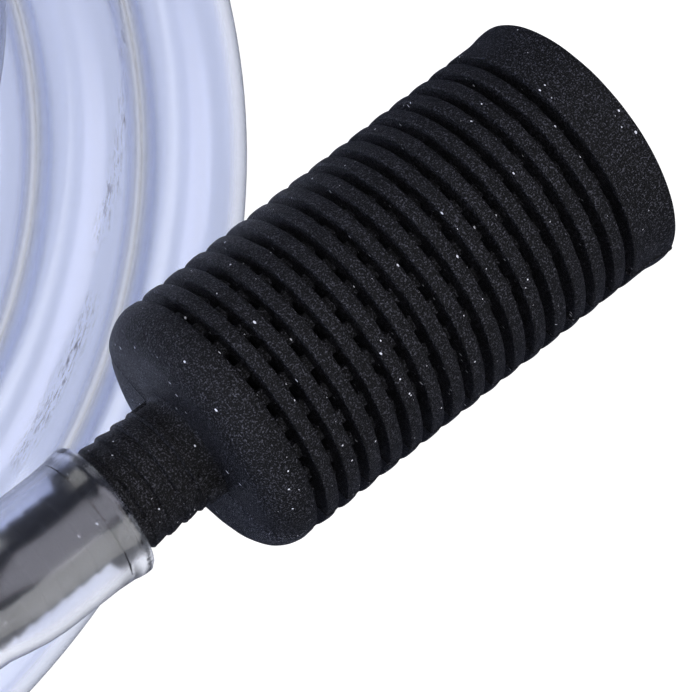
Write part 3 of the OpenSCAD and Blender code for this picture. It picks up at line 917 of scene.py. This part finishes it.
@dataclass
class Strainer:
    """The black suction strainer: collar, rings on bars, rounded shoulder and barbed tail.

    Heights run along its axis from the rim, in millimetres. Angles turn about the axis.
    """

    place: Matrix
    collar_r: float = 15.6
    cage_end_r: float = 15.2
    collar_len: float = 5.9
    lip_h: float = 0.3
    lip_len: float = 1.2
    rings: int = 15
    pitch: float = 2.92
    ring_w: float = 1.66
    bars: int = 24
    bar_in_r: float = 11.4
    bar_out_r: float = 13.2
    bar_w: float = 1.8
    shoulder_len: float = 5.5
    shoulder_round: float = 3.9
    neck_len: float = 2.4
    barb_r: float = 6.4
    barb_h: float = 0.45
    barb_pitch: float = 2.12
    barb_count: int = 5
    step_drop: float = 2.4
    tip_r: float = 4.9
    tip_barbs: int = 8
    bore_r: float = 2.75
    cap_bore_r: float = 14.0
    cap_bore_len: float = 4.6
    seat_at: float = 40.95
    chamber_r: float = 5.2
    seat_bore_r: float = 7.0
    seam_angle: float = -87.0
    strip_angle: float = -57.0
    plinth_angle: float = -76.0
    # Share of the pitch, and share of the rise, at each point of a barb.
    barb_shape: tuple[Pair, ...] = (
        (0.0, 1.0), (0.04, 0.97), (0.09, 0.45), (0.13, 0.03), (0.2, 0.0), (0.32, 0.4), (0.6, 0.72),
        (0.93, 1.0),
    )

    @property
    def cage_end(self) -> float:
        """Height of the shoulder's edge."""
        return self.collar_len + self.rings * self.pitch + self.pitch - self.ring_w

    @property
    def neck_start(self) -> float:
        """Height where the shoulder meets the neck."""
        return self.cage_end + self.shoulder_len

    @property
    def first_barb(self) -> float:
        """Height of the first barb's crest."""
        return self.neck_start + self.neck_len

    @property
    def tip_start(self) -> float:
        """Height where the small step starts."""
        return self.first_barb + (self.barb_count - 1) * self.barb_pitch + self.step_drop

    @property
    def tail_end(self) -> float:
        """Height of the tail's end."""
        return self.tip_start + self.tip_barbs * self.barb_pitch + 1

    def angles(self) -> np.ndarray:
        """Gives the angles of the copies, closer together at both mould seams.

        Returns:
            The angles in degrees, in rising order.
        """
        beside = (-1.2, -0.5, -0.2, 0.2, 0.5, 1.2)
        fine = [self.seam_angle % 180 + half + d for half in (0, 180) for d in beside]
        coarse = [a for a in np.arange(0, 360, 2.5) if all(abs(a - f) > 1.0 for f in fine)]
        return np.sort(np.array(coarse + fine))

    def seam_lift(self, step: float, ridge: float, uneven: float, seed: float) -> Lift:
        """Makes the lift of a surface that two mould halves form.

        Args:
            step: How much lower the far half is.
            ridge: Height of the flash on the seam.
            uneven: Height of the slight waviness of the moulding.
            seed: Shifts the waviness.

        Returns:
            A function of the outline, its normals and the angles.
        """

        def lift(loop: np.ndarray, normal: np.ndarray, angles: np.ndarray) -> np.ndarray:
            """Gives the lift of each point of the turned outline.

            Args:
                loop: Radius and height of the outline's points.
                normal: Their outward normals.
                angles: Angles of the copies, in degrees.

            Returns:
                The lift in millimetres, by point and angle.
            """
            from_seam = (angles - self.seam_angle) % 360
            near = np.minimum(np.minimum(from_seam, 360 - from_seam), np.abs(from_seam - 180))
            far_half = (from_seam > 180).astype(float)
            profile = -step * far_half + ridge * np.exp(-((near / 0.45) ** 2))
            circle = [(5 * math.cos(math.radians(a)), 5 * math.sin(math.radians(a))) for a in angles]
            wave = np.array([
                [noise.noise(Vector((x, y, seed + 0.7 * z))) for x, y in circle] for _, z in loop
            ])
            outside = np.clip((loop[:, 0] - 4.0) * 2, 0, 1)[:, None]
            return outside * (profile[None, :] + uneven * wave)

        return lift

    def ring_outline(self, i: int) -> Profile:
        """Gives a ring's cross-section: a crowned rib, a little wider at its root.

        Args:
            i: Number of the ring, from the rim.

        Returns:
            The closed outline.
        """
        low = self.collar_len + self.pitch - self.ring_w + i * self.pitch
        high = low + self.ring_w
        outer = self.collar_r + (self.cage_end_r - self.collar_r) * (i + 1) / (self.rings + 1)
        middle = (low + high) / 2
        inner = self.bar_in_r + 0.4
        corners = [(inner, low - 0.08), (outer - 0.07, low), (outer, middle), (outer - 0.07, high),
                   (inner, high + 0.08)]
        return rounded(corners, [0.05, 0.28, 0.5, 0.28, 0.05])

    def collar_outline(self) -> Profile:
        """Gives the collar's cross-section, with the rim lip and the bore for the cap.

        Returns:
            The closed outline.
        """
        lip = self.collar_r + self.lip_h
        return rounded(
            [(self.cap_bore_r, 0), (lip, 0), (lip, 0.9 * self.lip_len), (self.collar_r, 2 * self.lip_len),
             (self.collar_r, self.collar_len), (self.bar_in_r, self.collar_len),
             (self.bar_in_r, self.cap_bore_len), (self.cap_bore_r, self.cap_bore_len)],
            [0.25, 0.25, 0.5, 0.9, 0.3, 0.3, 0.2, 0.2],
        )

    def barbs(self, start: float, count: int, crest: float, root: float) -> Profile:
        """Gives sawtooth barbs: each drops steeply behind its crest and rises to the next.

        Args:
            start: Height of the first crest.
            count: Number of barbs.
            crest: Radius of the crests.
            root: Radius of the grooves.

        Returns:
            Points along the barbs.
        """
        return [
            (root + (crest - root) * share, start + (i + t) * self.barb_pitch)
            for i in range(count)
            for t, share in self.barb_shape
        ]

    def tail_outline(self) -> Profile:
        """Gives the cross-section of shoulder and tail, down the outside and back up the bore.

        Returns:
            The closed outline.
        """
        neck = self.barb_r - self.barb_h
        tip_root = self.tip_r - self.barb_h / 2
        face = self.neck_start - 0.55
        bend = self.shoulder_round
        arc = arc_points((self.cage_end_r - bend, face - bend), bend, 0, 84, 14)
        crown = [(9.6, face + 0.09), (8.2, face + 0.12), (7.3, face + 0.12)]
        fillet = arc_points((neck + 0.7, face + 0.82), 0.7, 265, 185, 6)
        outer = [
            (self.cage_end_r - 0.9, self.cage_end), (self.cage_end_r - 0.25, self.cage_end + 0.03),
            (self.cage_end_r - 0.04, self.cage_end + 0.25), *arc, *crown, *fillet,
            (neck, self.first_barb - 0.6),
            *self.barbs(self.first_barb, self.barb_count, self.barb_r, neck),
            (neck - 0.2, self.tip_start - 1.0), (tip_root + 0.3, self.tip_start - 0.2),
            (tip_root, self.tip_start + 0.3),
            *self.barbs(self.tip_start + self.barb_pitch, self.tip_barbs - 1, self.tip_r, tip_root),
            (tip_root, self.tail_end - 0.3), (tip_root - 0.3, self.tail_end),
        ]
        pocket = self.neck_start - 3.9
        inner = [
            (self.bore_r + 0.2, self.tail_end), (self.bore_r, self.tail_end - 0.2),
            (self.bore_r, self.neck_start - 1.6), (self.chamber_r, self.neck_start - 1.6),
            (self.chamber_r, self.seat_at), (self.seat_bore_r, self.seat_at), (self.seat_bore_r, pocket),
            (self.bar_in_r - 1, pocket), (self.bar_in_r, pocket - 1), (self.bar_in_r, self.cage_end),
        ]
        return outer + inner

    def build(self, finishes: Finishes) -> None:
        """Builds the strainer as one piece.

        Args:
            finishes: The shared finishes.
        """
        shells = Shells()
        angles = self.angles()
        shells.turn(self.collar_outline(), angles, self.seam_lift(0.04, 0.16, 0.03, 0))
        for i in range(self.rings):
            shells.turn(self.ring_outline(i), angles, self.seam_lift(0.05, 0.1, 0.07, 20 + 3 * i))
        shells.turn(self.tail_outline(), angles, self.seam_lift(0.12, 0.05, 0.05, 90))
        half = self.bar_w / 2
        bar = rounded(
            [(self.bar_in_r, -half), (self.bar_out_r, -half), (self.bar_out_r, half), (self.bar_in_r, half)],
            [0.25] * 4, 2,
        )
        for i in range(self.bars):
            shells.prism(bar, self.collar_len - 0.5, self.cage_end + 0.5, i * 360 / self.bars)
        strip_end = self.first_barb + (self.barb_count - 0.2) * self.barb_pitch
        for side in (0, 180):
            # Beside each mould seam a flat strip runs along the barbs, and a block stands on the neck.
            turned = self.strip_angle + side
            self.add_block(shells, turned, (-0.2, 1.5, 0.1), (self.first_barb - 0.9, strip_end))
            turned = self.plinth_angle + side
            self.add_block(shells, turned, (0.12, 1.25, 0.12), (self.neck_start - 1.2, self.neck_start + 1.9))
        points = np.concatenate(shells.vertices) * MM
        turn = np.array(self.place.to_3x3())
        world = points @ turn.T + np.array(self.place.translation)
        piece = mesh_piece("strainer", world, shells.faces, finishes.by_slot[Slot.BLACK_PP], 50, 0)
        self.mark_wear(piece, points / MM)
        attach(piece, "siphon")
        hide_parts("strainer_body")
        LOG.info("strainer: %d faces", len(piece.data.polygons))

    def add_block(self, shells: Shells, turned: float, shape: Point, span: Pair) -> None:
        """Adds a flat-topped block that stands on the tail and runs along it.

        Args:
            shells: The strainer's shells.
            turned: Angle of the block.
            shape: How far it stands above the barbs, half its width, and its bevel.
            span: Heights of its two ends.
        """
        stand, half, bevel = shape
        root, top = self.barb_r - 1.4, self.barb_r + stand
        outline = [(root, -half), (top - bevel, -half), (top, bevel - half), (top, half - bevel),
                   (top - bevel, half), (root, half)]
        shells.prism(outline, *span, turned, bevel)

    def mark_wear(self, piece: Piece, points: np.ndarray) -> None:
        """Writes where the strainer is scuffed: the far mould half of the shoulder and its seam.

        Args:
            piece: The strainer.
            points: Its vertices about its own axis, in millimetres.
        """
        turned = np.degrees(np.arctan2(points[:, 1], points[:, 0]))
        from_seam = (turned - self.seam_angle) % 360
        near = np.minimum(from_seam, 360 - from_seam)
        on_shoulder = (points[:, 2] > self.cage_end) & (points[:, 2] < self.neck_start)
        write_attribute(piece, "wear", on_shoulder * ((from_seam > 300) + np.exp(-((near / 2.5) ** 2))))


@dataclass
class CoilTie:
    """A hook-and-loop strap wrapped once around the coil's turns. Sizes in millimetres."""

    node: str
    angle: float
    coil_mm: Pair = COIL_CENTRE_MM
    turns_mm: tuple[Pair, ...] = ((60.0, 6.0), (84.0, 6.0), (66.0, 16.5))
    hose_r: float = 6.0
    width: float = 10.0
    thickness: float = 0.7
    steps: int = 96

    def wrap(self, margin: float) -> np.ndarray:
        """Gives the line that the strap follows around the turns.

        Args:
            margin: Distance from the turns.

        Returns:
            Closed line of radius and height about the coil's axis, in millimetres.
        """
        reach = self.hose_r + margin
        samples = [
            (r + reach * math.cos(a), max(z + reach * math.sin(a), self.thickness - margin))
            for r, z in self.turns_mm
            for a in np.linspace(0, 2 * math.pi, 48, endpoint=False)
        ]
        centre = np.mean(np.array(samples), axis=0)
        hull: Profile = []
        ordered = sorted(set(samples))
        for chain in (ordered, ordered[::-1]):
            start = len(hull)
            for point in chain:
                while len(hull) - start >= 2 and self.turns_right(hull[-2], hull[-1], point):
                    hull.pop()
                hull.append(point)
            hull.pop()
        line = np.array(hull)
        first = int(np.argmax(np.arctan2(*(line - centre).T[::-1])))
        return np.roll(line, -first, axis=0)

    @staticmethod
    def turns_right(a: Pair, b: Pair, c: Pair) -> bool:
        """Says whether the path over three points doesn't turn left."""
        return (b[0] - a[0]) * (c[1] - a[1]) - (b[1] - a[1]) * (c[0] - a[0]) <= 0

    def build(self, finishes: Finishes) -> None:
        """Builds the strap.

        Args:
            finishes: The shared finishes.
        """
        count = self.steps
        inner = self.resample(self.wrap(0.02), count)
        outer = self.resample(self.wrap(self.thickness - 0.02), count)
        half, edge = self.width / 2, 0.25
        middle = outer * 0.5 + inner * 0.5
        rows = [(inner, -half + edge), (middle, -half), (outer, -half + edge),
                (outer, half - edge), (middle, half), (inner, half - edge)]
        turn = math.radians(self.angle)
        points = []
        for line, across in rows:
            for r, z in line:
                x = r * math.cos(turn) + across * math.sin(turn)
                y = r * math.sin(turn) - across * math.cos(turn)
                points.append((self.coil_mm[0] + x, self.coil_mm[1] + y, z))
        faces = band(len(rows), count, closed=True)
        name, material = self.node.replace("coil_tie", "strap"), finishes.by_slot[Slot.TIE_STRAP]
        piece = mesh_piece(name, np.array(points) * MM, faces, material, 50)
        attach(piece, "siphon")
        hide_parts(self.node)
        LOG.info("%s: %d faces", piece.name, len(faces))

    @staticmethod
    def resample(line: np.ndarray, count: int) -> np.ndarray:
        """Spaces points evenly along a closed line.

        Args:
            line: The line.
            count: Number of points wanted.

        Returns:
            The new points.
        """
        closed = np.vstack([line, line[:1]])
        return sample_line(closed, np.linspace(0, run_along(closed)[-1], count, endpoint=False))


@dataclass
class PackedParts:
    """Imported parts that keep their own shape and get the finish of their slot."""

    slots: dict[str, Slot]

    def dress(self, finishes: Finishes) -> None:
        """Gives each part its finish.

        Args:
            finishes: The shared finishes.
        """
        for name, slot in self.slots.items():
            material = finishes.by_slot[slot]
            mesh = bpy.data.objects[name].data
            mesh.materials.clear()
            mesh.materials.append(material)
            LOG.info("%s: %s", name, material.name)


@dataclass
class HeadFittings(PackedParts):
    """The plug in the strainer's open end, and the non-return valve in its shoulder."""

    slots: dict[str, Slot] = field(
        default_factory=lambda: {
            "end_cap": Slot.BLACK_PP, "valve_seat": Slot.WHITE_NYLON, "valve_ball": Slot.WHITE_NYLON,
            "valve_stop": Slot.WHITE_NYLON,
        }
    )


@dataclass
class FlowTap(PackedParts):
    """The flow tap at the hose's outlet end, and the band clamp on its barb."""

    slots: dict[str, Slot] = field(
        default_factory=lambda: {
            "tap_body": Slot.TAP_SHELL, "tap_plug": Slot.WHITE_NYLON, "plug_seal_upper": Slot.SEAL_RUBBER,
            "plug_seal_lower": Slot.SEAL_RUBBER, "plug_clip": Slot.STEEL, "lever_screw": Slot.STEEL,
            "tap_lever": Slot.TAP_HANDLE, "hose_clamp": Slot.STEEL, "clamp_screw": Slot.STEEL,
        }
    )


def strainer_place(record: dict) -> Matrix:
    """Gives the strainer's place: its origin at the rim and +Z along its axis to the tail.

    Args:
        record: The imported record.

    Returns:
        The matrix from the strainer's own axes to the row frame.
    """
    lip = next(m for m in record["mounts"] if m["name"] == "rim_lip")
    towards_rim = Vector(lip["axis"]).normalized()
    rim = Vector(lip["pos_m"]) + towards_rim * lip["dims"]["length_mm"] / 2 * MM
    along = -towards_rim
    side = Vector((0, 1, 0))
    turn = Matrix((side.cross(along), side, along)).transposed()
    return Matrix.Translation(rim) @ turn.to_4x4()


def main() -> None:
    """Builds camera, hose, strainer, ties, fittings, tap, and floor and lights."""
    logging.basicConfig(level=logging.INFO, format="%(name)s: %(message)s")
    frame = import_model()
    place = strainer_place(frame["record"])
    finishes = Finishes()
    studio = Studio()
    studio.place_camera()
    Hose(HoseRoute(place)).build(finishes)
    Strainer(place).build(finishes)
    for node, angle in (("coil_tie_left", 150.0), ("coil_tie_right", 60.0)):
        CoilTie(node, angle).build(finishes)
    HeadFittings().dress(finishes)
    FlowTap().dress(finishes)
    studio.lay_floor()
    studio.light()


if __name__ == "__main__":
    main()
